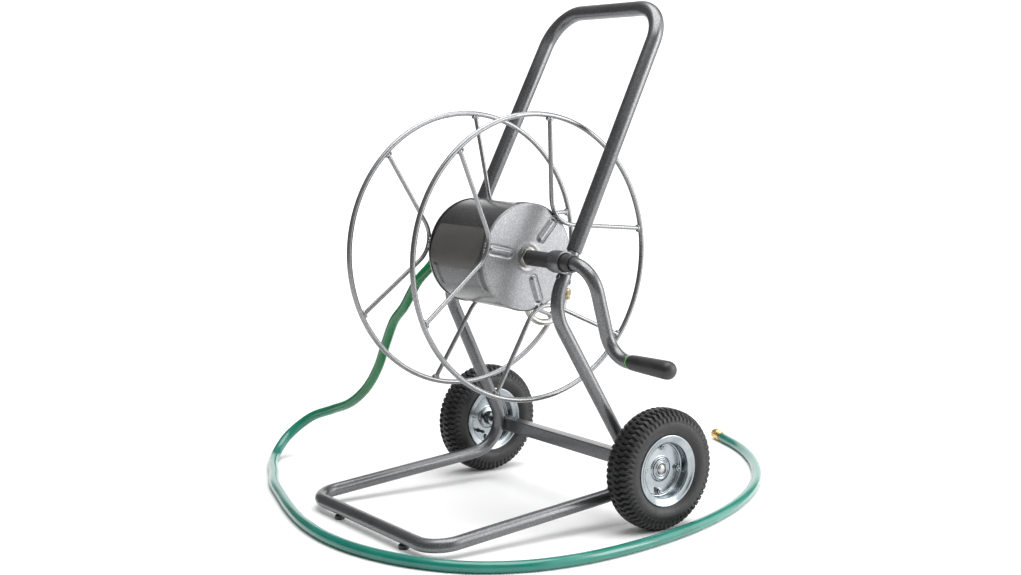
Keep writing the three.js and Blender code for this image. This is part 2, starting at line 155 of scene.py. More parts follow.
def soften(profile, r=0.6, n=3, closed=True):
    """rounds the corners of an (axial, radius) profile"""
    P = [np.array(p, float) for p in profile]
    out = []
    N = len(P)
    for i in range(N):
        if not closed and (i == 0 or i == N - 1):
            out.append(tuple(P[i]))
            continue
        a, b, c = P[i - 1], P[i], P[(i + 1) % N]
        la, lc = np.linalg.norm(a - b), np.linalg.norm(c - b)
        if b[1] == 0 or min(la, lc) < 1e-6:
            out.append(tuple(b))
            continue
        t = min(r, la * 0.45, lc * 0.45)
        s, e = b + (a - b) / la * t, b + (c - b) / lc * t
        for k in range(n + 1):
            q = k / n
            out.append(tuple((1 - q) ** 2 * s + 2 * q * (1 - q) * b + q * q * e))
    return out


def fillet(pts, radii, step=4):
    P = [np.array(p, float) for p in pts]
    out = [P[0]]
    for i in range(1, len(P) - 1):
        a, b = unit(P[i - 1] - P[i]), unit(P[i + 1] - P[i])
        ang = math.pi - math.acos(np.clip(np.dot(a, b), -1, 1))
        R = radii[i - 1]
        s = P[i] + a * R * math.tan(ang / 2)
        C = P[i] + unit(a + b) * R / math.cos(ang / 2)
        e0 = unit(s - C)
        ax = unit(np.cross(-a, b))
        n = max(3, int(math.ceil(math.degrees(ang) / step)))
        for k in range(n + 1):
            t = ang * k / n
            v = e0 * math.cos(t) + np.cross(ax, e0) * math.sin(t) + ax * np.dot(ax, e0) * (1 - math.cos(t))
            out.append(C + v * R)
    out.append(P[-1])
    return np.array(out)


def resample(line, step):
    line = np.asarray(line, float)
    s = np.r_[0, np.cumsum(np.linalg.norm(np.diff(line, axis=0), axis=1))]
    n = max(2, int(round(s[-1] / step)))
    q = np.linspace(0, s[-1], n + 1)
    return np.c_[[np.interp(q, s, line[:, i]) for i in range(3)]].T


def tube(line, radius, n=32, cap=1.2, closed=False, bump=None):
    """round section swept along a line; caps with a small rounded edge"""
    P = np.asarray(line, float)
    N = len(P)
    T = np.zeros_like(P)
    for i in range(N):
        a = P[(i - 1) % N] if closed else P[max(i - 1, 0)]
        b = P[(i + 1) % N] if closed else P[min(i + 1, N - 1)]
        d1, d2 = P[i] - a, b - P[i]
        d1 = d1 / (np.linalg.norm(d1) or 1)
        d2 = d2 / (np.linalg.norm(d2) or 1)
        T[i] = unit(d1 + d2)
    r = np.full(N, radius, float) if np.isscalar(radius) else np.asarray(radius, float)
    if not closed and cap > 0:
        c = min(cap, r[0] * 0.5)
        P = np.vstack([P[0], P[0] + T[0] * c * 0.3, P[0] + T[0] * c, P[1:-1], P[-1] - T[-1] * c, P[-1] - T[-1] * c * 0.3, P[-1]])
        r = np.r_[r[0] - c, r[0] - 0.3 * c, r[0], r[1:-1], r[-1], r[-1] - 0.3 * c, r[-1] - c]
        T = np.vstack([T[0], T[0], T[0], T[1:-1], T[-1], T[-1], T[-1]])
        N = len(P)
    u = np.array([1.0, 0, 0]) if abs(T[0][2]) > 0.9 else np.array([0, 0, 1.0])
    u = unit(u - T[0] * np.dot(u, T[0]))
    t = 2 * np.pi * np.arange(n) / n
    V = []
    for i in range(N):
        if i:
            u = unit(u - T[i] * np.dot(u, T[i]))
        v = np.cross(T[i], u)
        V.append(P[i] + r[i] * (np.outer(np.cos(t), u) + np.outer(np.sin(t), v)))
    V = np.vstack(V)
    F = []
    for i in range(N if closed else N - 1):
        for k in range(n):
            a, b = i * n + k, i * n + (k + 1) % n
            c, d = ((i + 1) % N) * n + (k + 1) % n, ((i + 1) % N) * n + k
            F.append((a, b, c, d))
    if not closed:
        V = np.vstack([V, P[0], P[-1]])
        s, e = len(V) - 2, len(V) - 1
        for k in range(n):
            F.append((s, (k + 1) % n, k))
            F.append((e, (N - 1) * n + k, (N - 1) * n + (k + 1) % n))
    return V, F


def rod(r, a, b, n=32, edge=0.8):
    a, b = np.asarray(a, float), np.asarray(b, float)
    L = np.linalg.norm(b - a)
    return revolve(soften([(0, 0), (0, r), (L, r), (L, 0)], edge, 3, closed=False), n, a, b - a)


def pipe(ro, ri, a, b, n=48, edge=0.6):
    a, b = np.asarray(a, float), np.asarray(b, float)
    L = np.linalg.norm(b - a)
    return revolve(soften([(0, ri), (0, ro), (L, ro), (L, ri)], edge, 3), n, a, b - a)


def blob(c, r, seed, squash=(1, 1, 1), n=20):
    """small weld bead: a lumpy rounded patch"""
    rng = np.random.RandomState(seed)
    V, F = [], []
    rows = n // 2
    ph = rng.rand(6) * 6.28
    V.append(np.array([0, 0, 1.0]))
    for i in range(1, rows):
        th = math.pi * i / rows
        for k in range(n):
            f = 2 * math.pi * k / n
            p = np.array([math.sin(th) * math.cos(f), math.sin(th) * math.sin(f), math.cos(th)])
            V.append(p)
    V.append(np.array([0, 0, -1.0]))
    V = np.array(V)
    k = 1 + 0.10 * np.sin(3 * V[:, 0] + ph[0]) * np.sin(4 * V[:, 1] + ph[1]) + 0.07 * np.sin(6 * V[:, 2] + ph[2] + 3 * V[:, 0])
    V = V * k[:, None] * r * np.array(squash) + np.asarray(c, float)
    for k in range(n):
        F.append((0, 1 + k, 1 + (k + 1) % n))
        for i in range(rows - 2):
            a, b = 1 + i * n + k, 1 + i * n + (k + 1) % n
            F.append((a, a + n, b + n, b))
        a = 1 + (rows - 2) * n
        F.append((a + k, len(V) - 1, a + (k + 1) % n))
    return V, F


def bead(line, r, n=10, closed=True, amp=0.22, pitch=2.6, seed=0):
    """rippled weld bead laid along a line"""
    L = resample(np.vstack([line, line[:1]]) if closed else line, 0.9)
    if closed:
        L = L[:-1]
    k = np.arange(len(L))
    rng = np.random.RandomState(seed)
    rr = r * (1 + amp * np.abs(np.sin(np.pi * k * 0.9 / pitch)) + 0.08 * np.sin(k * 0.13 + rng.rand() * 6))
    return tube(L, rr, n, cap=0 if closed else 0.5, closed=closed)


# ------------------------------------------------------------------ materials


def nodes_of(name):
    m = bpy.data.materials.new(name)
    m.use_nodes = True
    nt = m.node_tree
    nt.nodes.clear()
    out = nt.nodes.new("ShaderNodeOutputMaterial")
    bs = nt.nodes.new("ShaderNodeBsdfPrincipled")
    nt.links.new(bs.outputs[0], out.inputs[0])
    tc = nt.nodes.new("ShaderNodeTexCoord")
    return m, nt, bs, tc.outputs["Object"]


def noise(nt, vec, scale, detail=3, rough=0.5):
    n = nt.nodes.new("ShaderNodeTexNoise")
    n.inputs["Scale"].default_value = scale
    n.inputs["Detail"].default_value = detail
    n.inputs["Roughness"].default_value = rough
    nt.links.new(vec, n.inputs["Vector"])
    return n.outputs["Fac"]


def cells(nt, vec, scale, feature="SMOOTH_F1", smooth=0.6):
    n = nt.nodes.new("ShaderNodeTexVoronoi")
    n.feature = feature
    n.inputs["Scale"].default_value = scale
    if feature == "SMOOTH_F1":
        n.inputs["Smoothness"].default_value = smooth
    nt.links.new(vec, n.inputs["Vector"])
    return n.outputs["Distance"]


def ramp(nt, fac, stops):
    r = nt.nodes.new("ShaderNodeValToRGB")
    e = r.color_ramp.elements
    while len(e) > 1:
        e.remove(e[-1])
    e[0].position, e[0].color = stops[0][0], stops[0][1]
    for p, c in stops[1:]:
        q = e.new(p)
        q.color = c
    nt.links.new(fac, r.inputs[0])
    return r.outputs[0]


def grey(v):
    return (v, v, v, 1)


def mapr(nt, fac, lo, hi, a=0.0, b=1.0):
    n = nt.nodes.new("ShaderNodeMapRange")
    n.inputs["From Min"].default_value = a
    n.inputs["From Max"].default_value = b
    n.inputs["To Min"].default_value = lo
    n.inputs["To Max"].default_value = hi
    nt.links.new(fac, n.inputs["Value"])
    return n.outputs["Result"]


def maths(nt, op, a, b):
    n = nt.nodes.new("ShaderNodeMath")
    n.operation = op
    for i, q in enumerate((a, b)):
        if isinstance(q, (int, float)):
            n.inputs[i].default_value = q
        else:
            nt.links.new(q, n.inputs[i])
    return n.outputs[0]


def mix(nt, fac, a, b, kind="MIX"):
    n = nt.nodes.new("ShaderNodeMix")
    n.data_type = "RGBA"
    n.blend_type = kind
    for i, q in ((0, fac), (6, a), (7, b)):
        if isinstance(q, (int, float)):
            n.inputs[i].default_value = q
        elif isinstance(q, tuple):
            n.inputs[i].default_value = q
        else:
            nt.links.new(q, n.inputs[i])
    return n.outputs[2]


def bump(nt, bs, height, strength, dist, prev=None):
    n = nt.nodes.new("ShaderNodeBump")
    n.inputs["Strength"].default_value = strength
    n.inputs["Distance"].default_value = dist
    nt.links.new(height, n.inputs["Height"])
    if prev is not None:
        nt.links.new(prev, n.inputs["Normal"])
    nt.links.new(n.outputs[0], bs.inputs["Normal"])
    return n.outputs[0]


def scaled(nt, vec, s):
    n = nt.nodes.new("ShaderNodeMapping")
    n.inputs["Scale"].default_value = s
    nt.links.new(vec, n.inputs["Vector"])
    return n.outputs[0]


def hammertone(name, dark, light, metal=0.75, rough=0.36, cell=420.0, depth=0.00022, strength=0.5, mottle=0.5):
    m, nt, bs, vec = nodes_of(name)
    c1 = cells(nt, vec, cell, smooth=0.75)
    warp = noise(nt, vec, cell * 0.55, 2)
    fine = noise(nt, vec, cell * 3.2, 2, 0.6)
    big = noise(nt, vec, 9.0, 4)
    pit = mapr(nt, c1, 0.0, 1.0, 0.05, 0.75)
    tone = mix(nt, pit, dark, light)
    spark = ramp(nt, fine, [(0.35, grey(0.86)), (0.62, grey(1.0)), (0.74, grey(1.28))])
    tone = mix(nt, 1.0, tone, spark, "MULTIPLY")
    cloud = ramp(nt, big, [(0.3, grey(1.0 - 0.16 * mottle)), (0.7, grey(1.0 + 0.14 * mottle))])
    tone = mix(nt, 1.0, tone, cloud, "MULTIPLY")
    nt.links.new(tone, bs.inputs["Base Color"])
    bs.inputs["Metallic"].default_value = metal
    r = maths(nt, "ADD", mapr(nt, big, rough - 0.05, rough + 0.07, 0.3, 0.7), mapr(nt, fine, -0.03, 0.05, 0.3, 0.7))
    nt.links.new(r, bs.inputs["Roughness"])
    bs.inputs["Coat Weight"].default_value = 0.35
    bs.inputs["Coat Roughness"].default_value = 0.16
    h = maths(nt, "ADD", c1, maths(nt, "MULTIPLY", warp, 0.6))
    b1 = bump(nt, bs, h, strength, depth)
    bump(nt, bs, fine, 0.12, 0.00006, b1)
    return m


def plated(name, base, tint, rough=0.24, grain=0.10):
    m, nt, bs, vec = nodes_of(name)
    big = noise(nt, vec, 26.0, 5, 0.6)
    fine = noise(nt, vec, 900.0, 2)
    col = mix(nt, mapr(nt, big, 0, 1, 0.35, 0.65), base, tint)
    nt.links.new(col, bs.inputs["Base Color"])
    bs.inputs["Metallic"].default_value = 1.0
    nt.links.new(maths(nt, "ADD", mapr(nt, big, rough - 0.05, rough + 0.09, 0.3, 0.7), mapr(nt, fine, -0.02, 0.03)), bs.inputs["Roughness"])
    b = bump(nt, bs, big, 0.25, 0.0004)
    bump(nt, bs, fine, grain, 0.00005, b)
    return m


def plastic(name, base, light, rough=0.5, coat=0.0, grain=0.25, cell=1500.0, sheen=0.0):
    m, nt, bs, vec = nodes_of(name)
    big = noise(nt, vec, 40.0, 4)
    fine = noise(nt, vec, cell, 3)
    nt.links.new(mix(nt, mapr(nt, big, 0, 1, 0.3, 0.75), base, light), bs.inputs["Base Color"])
    nt.links.new(mapr(nt, big, rough - 0.05, rough + 0.08, 0.3, 0.7), bs.inputs["Roughness"])
    bs.inputs["Coat Weight"].default_value = coat
    bs.inputs["Coat Roughness"].default_value = 0.2
    bump(nt, bs, fine, grain, 0.00008)
    return m


def rubber(name, base, dust, rough=0.72):
    m, nt, bs, vec = nodes_of(name)
    big = noise(nt, vec, 22.0, 5, 0.6)
    mid = noise(nt, vec, 160.0, 4, 0.6)
    fine = noise(nt, vec, 1800.0, 2)
    d = ramp(nt, maths(nt, "MULTIPLY", big, mapr(nt, mid, 0.6, 1.3)), [(0.38, (0, 0, 0, 1)), (0.72, (1, 1, 1, 1))])
    nt.links.new(mix(nt, d, base, dust), bs.inputs["Base Color"])
    nt.links.new(mapr(nt, mid, rough - 0.16, rough + 0.08, 0.3, 0.7), bs.inputs["Roughness"])
    b = bump(nt, bs, mid, 0.12, 0.0003)
    bump(nt, bs, fine, 0.3, 0.00008, b)
    return m


M_FRAME = hammertone("frame_paint", (0.085, 0.086, 0.089, 1), (0.195, 0.197, 0.204, 1), metal=0.82, rough=0.30, cell=560, depth=0.00010, strength=0.28, mottle=0.5)
M_WIRE = hammertone("wire_paint", (0.155, 0.156, 0.16, 1), (0.29, 0.292, 0.298, 1), metal=0.86, rough=0.25, cell=640, depth=0.00008, strength=0.22)
# drum and end discs carry one paint: the drum copy is darkened as painted shade and the disc copy lightened as painted
# light
M_DRUM_SHADED = hammertone("drum_paint_shaded", (0.050, 0.0505, 0.053, 1), (0.118, 0.119, 0.124, 1), metal=0.85, rough=0.34, cell=420, depth=0.00022, strength=0.5, mottle=0.8)
M_DISC_LIT = hammertone("disc_paint_lit", (0.165, 0.167, 0.173, 1), (0.31, 0.312, 0.322, 1), metal=0.86, rough=0.38, cell=420, depth=0.00022, strength=0.5, mottle=0.8)
M_ZINC = plated("rim_zinc", (0.235, 0.265, 0.28, 1), (0.37, 0.40, 0.42, 1), 0.20)
M_STEEL = plated("plated_steel", (0.30, 0.295, 0.275, 1), (0.44, 0.43, 0.40, 1), 0.27)
M_BRASS = plated("brass", (0.62, 0.40, 0.13, 1), (0.83, 0.60, 0.25, 1), 0.24)
M_BRASS_DULL = plated("brass_dull", (0.30, 0.25, 0.15, 1), (0.46, 0.39, 0.26, 1), 0.34)
M_BLACK = plastic("black_plastic", (0.012, 0.012, 0.013, 1), (0.03, 0.03, 0.032, 1), 0.42, 0.15)
M_GRIP = plastic("grip_black", (0.008, 0.008, 0.009, 1), (0.022, 0.022, 0.024, 1), 0.46, 0.1, grain=0.35)
M_GREEN = plastic("grip_green", (0.10, 0.36, 0.08, 1), (0.16, 0.46, 0.12, 1), 0.45)
M_TYRE = rubber("tyre", (0.004, 0.004, 0.0048, 1), (0.013, 0.0125, 0.0135, 1), 0.55)
M_RUBBER = rubber("valve_rubber", (0.014, 0.014, 0.015, 1), (0.04, 0.04, 0.04, 1), 0.6)
M_LABEL = plastic("blank_label", (0.066, 0.063, 0.058, 1), (0.082, 0.079, 0.073, 1), 0.5, 0.2, grain=0.05)


def hose_material():
    m, nt, bs, vec = nodes_of("hose")
    sep = nt.nodes.new("ShaderNodeSeparateXYZ")
    nt.links.new(vec, sep.inputs[0])
    # the hose is one colour: the shift from teal on the floor to green where it hangs is painted light, mixed by height
    painted_light_height_mix = mapr(nt, sep.outputs["Z"], 0.0, 1.0, 0.03, 0.16)
    fine = noise(nt, vec, 700.0, 2)
    big = noise(nt, vec, 14.0, 3)
    low = mix(nt, mapr(nt, big, 0, 1, 0.3, 0.7), (0.0, 0.135, 0.100, 1), (0.0, 0.195, 0.145, 1))
    high = mix(nt, mapr(nt, big, 0, 1, 0.3, 0.7), (0.0, 0.125, 0.034, 1), (0.0, 0.17, 0.048, 1))
    nt.links.new(mix(nt, painted_light_height_mix, low, high), bs.inputs["Base Color"])
    nt.links.new(mapr(nt, big, 0.16, 0.26, 0.3, 0.7), bs.inputs["Roughness"])
    bs.inputs["Coat Weight"].default_value = 0.45
    bs.inputs["Coat Roughness"].default_value = 0.06
    b = bump(nt, bs, big, 0.1, 0.0008)
    bump(nt, bs, fine, 0.06, 0.0001, b)
    return m


M_HOSE = hose_material()

# ------------------------------------------------------------------ dimensions repeated from the CAD
TUBE_R, HANDLE_R = 12.2, 14.1
HUB_X, HANDLE_TOP, HANDLE_SLOPE, HANDLE_Y0, HANDLE_Z0 = 164.8, (156.7, 253.9, 451.7), 0.4829, 35.8, 14.0
HANDLE_BEND, SEAM_Z = 72.0, -24.0
KNEE, LEG_X, LEG_FOOT, FRONT = (-3.6, -81.8), 203.5, (185.0, -416.0), (206.4, -275.2, -460.6)
LEG_BEND, KNEE_BEND, FRONT_BEND = 60.0, 85.0, 48.0
SLEEVE_R, BUSH_R, BUSH_FLANGE_R, SPACER_R, SHAFT_R = 20.2, 15.7, 18.6, 14.0, 12.2
SLEEVES = {"right": (168.0, 196.0, 217.0), "left": (152.0, 180.0, 181.5)}
AXLE_Y, AXLE_Z, AXLE_R = 167.2, -371.0, 6.0
CROSS_W, CROSS_HALF = 25.4, 203.0
RING_R, RING_WIRE, RING_X, SPOKE_R = 254.4, 4.75, 105.1, 4.0
SPOKES = {"right": {"a": (10.6, 48.5, 82.8), "b": (130.3, 167.7, 204.0), "c": (251.9, 288, 322.5)},
          "left": {"a": (14.8, 50.5, 85.8), "b": (134.4, 169.8, 206.0), "c": (254.5, 290, 325.5)}}
DRUM_R, DISC_R, DISC_T, DISC_X = 96.0, 97.3, 1.8, 86.3
SPOKE_X = DISC_X + DISC_T + SPOKE_R + 0.3
SPOKE_APEX_R, SPOKE_CORNER_R, SPOKE_BEND = 99.0, 78.0, 55.0
WHEEL_X, TYRE_R, TYRE_HALF, FLANGE_R, FLANGE_X, BEAD_R = 264.6, 110.0, 30.0, 64.8, 24.7, 52.0
SIDES = (("right", 1), ("left", -1))


def on_handle(s, z):
    k = z / HANDLE_TOP[2]
    return np.array([s * (HUB_X + (HANDLE_TOP[0] - HUB_X) * k), HANDLE_Y0 + HANDLE_SLOPE * z, z])


# ------------------------------------------------------------------ leader hose (first: it sets the spread)
IN_X = -194.5
EXIT = unit([0, -0.45, -0.893])
SPOUT_LEN, FERRULE_LEN = 16.0, 8.0
HOSE_R = 10.0
nut0 = np.array([IN_X, 0, 0]) + EXIT * (SPOUT_LEN + 0.3)
hose0 = np.array([IN_X, 0, 0]) + EXIT * (SPOUT_LEN + FERRULE_LEN + 0.6)
HOSE_ROUTE = [hose0, hose0 + EXIT * 8, hose0 + EXIT * 16] + [np.array(p, float) for p in (
    (-214, -37, -68), (-238, -38, -96), (-266, -37.3, -127), (-301, -38, -158), (-334.6, -36, -206.6), (-365.4, -36, -261.9), (-402.9, -41.1, -310.8),
    (-451, -51, -348.8), (-511.5, -61.7, -373.2), (-566.5, -83.6, -397.4), (-586.6, -125.4, -434.6), (-560.3, -168.6, -463.5),
    (-507, -203.6, -471), (-444.8, -233.2, -471), (-362.7, -273.6, -471), (-270.8, -305.4, -471), (-177.4, -335.2, -471), (-82.8, -358.1, -471), (13.1, -367.4, -471),
    (110, -356.5, -471), (205.1, -320.4, -471), (282.1, -261.1, -471), (328.9, -183.1, -471), (349.8, -92.1, -471), (351.4, 5.8, -471), (340, 104.9, -471),
    (318.8, 202.1, -471), (287.8, 296, -471), (247.6, 385.6, -471), (198.3, 469.6, -471), (140.3, 546.9, -471), (73.8, 616.4, -471), (-0.9, 676.8, -471),
    (-83.5, 727.1, -471), (-158, 757, -470.2), (-176, 763.4, -469.6))]


def catmull(pts, per=14):
    """centripetal Catmull-Rom through the route points"""
    P = [np.asarray(p, float) for p in pts]
    P = [2 * P[0] - P[1]] + P + [2 * P[-1] - P[-2]]
    out = []
    for i in range(1, len(P) - 2):
        p0, p1, p2, p3 = P[i - 1], P[i], P[i + 1], P[i + 2]
        t0 = 0.0
        t1 = t0 + np.linalg.norm(p1 - p0) ** 0.5
        t2 = t1 + np.linalg.norm(p2 - p1) ** 0.5
        t3 = t2 + np.linalg.norm(p3 - p2) ** 0.5
        for k in range(per):
            t = t1 + (t2 - t1) * k / per
            a1 = (t1 - t) / (t1 - t0) * p0 + (t - t0) / (t1 - t0) * p1
            a2 = (t2 - t) / (t2 - t1) * p1 + (t - t1) / (t2 - t1) * p2
            a3 = (t3 - t) / (t3 - t2) * p2 + (t - t2) / (t3 - t2) * p3
            b1 = (t2 - t) / (t2 - t0) * a1 + (t - t0) / (t2 - t0) * a2
            b2 = (t3 - t) / (t3 - t1) * a2 + (t - t1) / (t3 - t1) * a3
            out.append((t2 - t) / (t2 - t1) * b1 + (t - t1) / (t2 - t1) * b2)
    out.append(P[-2])
    out = np.array(out)
    out[:, 2] = np.maximum(out[:, 2], FLOOR + HOSE_R)
    return out


hose_line = resample(catmull(HOSE_ROUTE), 6.0)
hose = mesh_object("leader_hose", [tube(hose_line, HOSE_R - 0.02, 24, cap=1.0)], M_HOSE, "frame", replaces=("hose",), angle=70)

tail = np.array(HOSE_ROUTE[-1])
tail_d = unit(tail - HOSE_ROUTE[-2])


def knurled(profile_r, n, teeth, depth, a0, a1, origin, d, inner=None):
    """sleeve with lengthwise flutes"""
    u, v, w = basis(d)
    o = np.asarray(origin, float)
    t = 2 * np.pi * np.arange(n) / n
    flute = 1 - depth / profile_r * (0.5 + 0.5 * np.cos(teeth * t)) ** 2
    rows = [(a0, None, profile_r - 1.2), (a0 + 0.8, None, profile_r - 0.3), (a0 + 2.2, 1, profile_r), (a1 - 2.2, 1, profile_r), (a1 - 0.8, None, profile_r - 0.3), (a1, None, profile_r - 1.2)]
    V = []
    for a, f, r in rows:
        rr = r * flute if f else np.full(n, r)
        V.append(o + w * a + (rr[:, None] * (np.outer(np.cos(t), u) + np.outer(np.sin(t), v))))
    V = np.vstack(V)
    F = []
    for i in range(len(rows) - 1):
        for k in range(n):
            F.append((i * n + k, i * n + (k + 1) % n, (i + 1) * n + (k + 1) % n, (i + 1) * n + k))
    if inner:
        m = len(V)
        ring = np.outer(np.cos(t), u) + np.outer(np.sin(t), v)
        V = np.vstack([V, o + w * a1 + ring * inner, o + w * (a1 - 12) + ring * inner, (o + w * (a1 - 12))[None], (o + w * a0)[None]])
        e = (len(rows) - 1) * n
        for k in range(n):
            q = (k + 1) % n
            F.append((e + k, e + q, m + q, m + k))
            F.append((m + k, m + q, m + n + q, m + n + k))
            F.append((m + n + k, m + n + q, m + 2 * n))
            F.append((m + 2 * n + 1, q, k))
    else:
        m = len(V)
        V = np.vstack([V, (o + w * a0)[None], (o + w * a1)[None]])
        e = (len(rows) - 1) * n
        for k in range(n):
            q = (k + 1) % n
            F.append((m, q, k))
            F.append((m + 1, e + k, e + q))
    return V, F


def ferrule_parts(origin, d, length=16.0):
    prof = [(0.6, 0), (0.6, 10.2), (1.4, 11.0), (3.2, 11.0), (3.8, 10.5), (5.2, 10.5), (5.8, 11.1), (7.6, 11.1), (8.2, 10.6), (9.6, 10.6), (10.2, 11.2), (13.2, 11.3), (14.6, 10.9), (length, 10.4), (length, 0)]
    return revolve(prof, 48, origin, d)


ferrule = mesh_object("hose_ferrule_fine", [ferrule_parts(tail, tail_d)], M_BRASS, "frame", replaces=("hose_ferrule",), angle=35)
end_nut = mesh_object("hose_end_nut", [knurled(11.4, 96, 16, 1.0, 16.3, 34.0, tail, tail_d, inner=9.2)], M_BRASS, "frame", replaces=("hose_end_fitting",), angle=35)
in_nut = mesh_object("inlet_ferrule", [revolve(soften([(0, 0), (0, 10.2), (0.7, 11.0), (2.0, 11.0), (2.5, 10.5), (3.6, 10.5), (4.1, 11.0), (FERRULE_LEN - 0.7, 11.0), (FERRULE_LEN, 10.2), (FERRULE_LEN, 0)], 0.25, 2, closed=False), 48, nut0, EXIT)],
                       M_BRASS, "frame", replaces=("inlet_coupling",), angle=35)

# ------------------------------------------------------------------ push handle and frame
line = fillet([on_handle(1, HANDLE_Z0), HANDLE_TOP, (-HANDLE_TOP[0], HANDLE_TOP[1], HANDLE_TOP[2]), on_handle(-1, HANDLE_Z0)], [HANDLE_BEND] * 2, 3)
mesh_object("push_handle", [tube(line, HANDLE_R, 40, cap=1.6)], M_FRAME, "frame", replaces=("upper_handle",))

bolt_dir = np.array([0, 0.9005, -0.4349])
for tag, s in SIDES:
    d = unit(on_handle(s, 100) - on_handle(s, 0))
    seam, top = on_handle(s, SEAM_Z + 0.3), on_handle(s, HANDLE_Z0 + 2)
    in0, out0, end0 = SLEEVES[tag]
    stub = tube([seam, top], TUBE_R - 0.5, 40, cap=1.0)
    sleeve = revolve(soften([(0, 16.4), (0, SLEEVE_R), (out0 - in0, SLEEVE_R), (out0 - in0, 16.4)], 1.1, 3), 64, (s * in0, 0, 0), (s, 0, 0))
    saddle = tube([np.array([s * (in0 + 10), 0, 0]) + bolt_dir * 18.5, np.array([s * (HUB_X + 6), 0, 0]) + bolt_dir * 27], 6.0, 24, cap=0)
    # weld beads where sleeve and tube touch
    beads = []
    for q in (-1, 1):
        pts = []
        lo, hi = max(in0 + 0.5, HUB_X - 10.5), min(out0 - 0.5, HUB_X + 10.5)
        for k in range(9):
            x = lo + (hi - lo) * k / 8
            f = math.asin(max(-1, min(1, (x - HUB_X) / 11.5)))
            side = np.array([0, 0.4349, 0.9005]) * q
            pts.append(np.array([s * x, 0, 0]) + bolt_dir * 18.6 + side * (7.2 + 2.2 * (1 - math.cos(f))))
        beads.append(bead(np.array(pts), 1.7, closed=False, seed=3 + q + s))
    t = 2 * np.pi * np.arange(60) / 60
    u, v, w = basis(d)
    seam_ring = on_handle(s, HANDLE_Z0 - 6.5) + (TUBE_R - 0.5) * (np.outer(np.cos(t), u) + np.outer(np.sin(t), v))
    mesh_object("hub_bracket_fine_" + tag, [stub, sleeve, saddle] + beads + [tube(seam_ring, 1.0, 8, closed=True)], M_FRAME, "frame", replaces=("hub_bracket_" + tag,))
    # bearing bush with flared collar
    prof = [(in0 - 9, SHAFT_R + 0.3), (in0 - 9, 15.8), (in0 - 8.2, 16.8), (in0 - 6.6, 18.3), (in0 - 5.6, 18.6), (in0 - 0.4, 18.6), (in0 - 0.4, BUSH_R), (end0, BUSH_R), (end0, SHAFT_R + 0.3)]
    mesh_object("bearing_bush_fine_" + tag, [revolve(soften(prof, 0.6, 3), 64, (0, 0, 0), (s, 0, 0))], M_BLACK, "frame", replaces=("bearing_bush_" + tag,))
    # joint bolt: domed head behind, nut in front
    bp = on_handle(s, SEAM_Z - 9)
    head = revolve([(12.4, 0), (12.4, 6.0), (13.4, 6.0), (14.6, 5.6), (16.0, 4.4), (17.0, 2.6), (17.5, 0)], 28, bp, bolt_dir)
    nut = revolve(soften([(-14.4, 0), (-14.4, 4.4), (-12.9, 4.8), (-12.6, 0)], 0.4, 2, closed=False), 24, bp, bolt_dir)
    mesh_object("joint_bolt_fine_" + tag, [head], M_STEEL, "frame", replaces=("joint_bolt_" + tag,), angle=25)
    mesh_object("joint_bolt_end_" + tag, [nut], M_FRAME, "frame", replaces=("joint_bolt_" + tag,), angle=25)

half = lambda s: [on_handle(s, SEAM_Z), np.array([s * HUB_X, KNEE[0], KNEE[1]]), np.array([s * LEG_X, LEG_FOOT[0], LEG_FOOT[1]]), np.array([s * FRONT[0], FRONT[1], FRONT[2]])]
frame_line = fillet(half(1) + half(-1)[::-1], [KNEE_BEND, LEG_BEND, FRONT_BEND, FRONT_BEND, LEG_BEND, KNEE_BEND], 3)
mesh_object("lower_frame_fine", [tube(frame_line, TUBE_R, 40, cap=1.2)], M_FRAME, "frame", replaces=("lower_frame",))


def square_tube(x0, x1, w, r=2.4, wall=2.0, n=6):
    """square hollow section along X with rounded corners, open ends"""
    def ringpts(h, rr):
        pts = []
        for cy, cz, a0 in ((1, 1, 0), (-1, 1, 90), (-1, -1, 180), (1, -1, 270)):
            for k in range(n + 1):
                a = math.radians(a0 + 90 * k / n)
                pts.append((cy * (h - rr) + rr * math.cos(a), cz * (h - rr) + rr * math.sin(a)))
        return np.array(pts)
    o, i = ringpts(w / 2, r), ringpts(w / 2 - wall, max(0.4, r - wall))
    m = len(o)
    V = []
    xs = np.linspace(x0, x1, 40)
    for x in xs:
        V.append(np.c_[np.full(m, x), AXLE_Y + o[:, 0], AXLE_Z + o[:, 1]])
    for x in (x1, x0):
        V.append(np.c_[np.full(m, x), AXLE_Y + i[:, 0], AXLE_Z + i[:, 1]])
    V = np.vstack(V)
    F = []
    R = len(xs) + 2
    for a in range(R):
        for k in range(m):
            b = (a + 1) % R
            F.append((a * m + k, a * m + (k + 1) % m, b * m + (k + 1) % m, b * m + k))
    return V, F


sq = square_tube(-CROSS_HALF, CROSS_HALF, CROSS_W)
beads = []
for tag, s in SIDES:
    for q in (-1, 1):
        pts = []
        for k in range(15):
            a = (k / 14 - 0.5) * 2.2
            pts.append((s * (LEG_X - 3) - s * 15.5 * math.cos(a), AXLE_Y - 10.5 + 2.2 * math.cos(a), AXLE_Z + q * 12.9 * 1.0 + 0.4 * q))
        beads.append(bead(np.array(pts), 1.6, closed=False, seed=20 + q + s))
mesh_object("axle_cross_tube_fine", [sq] + beads, M_FRAME, "frame", replaces=("axle_cross_tube",))

for tag, s, x in (("right", 1, 115.7), ("left", -1, -102.3)):
    top = FRONT[2] - TUBE_R - 0.3 - FLOOR
    prof = soften([(0, 0), (0, 8.4), (1.8, 9.5), (top - 1.2, 9.5), (top, 8.2), (top, 0)], 0.6, 3, closed=False)
    mesh_object("front_foot_fine_" + tag, [revolve(prof, 32, (x, FRONT[1], FLOOR), (0, 0, 1))], M_BLACK, "frame", replaces=("front_foot_" + tag,))

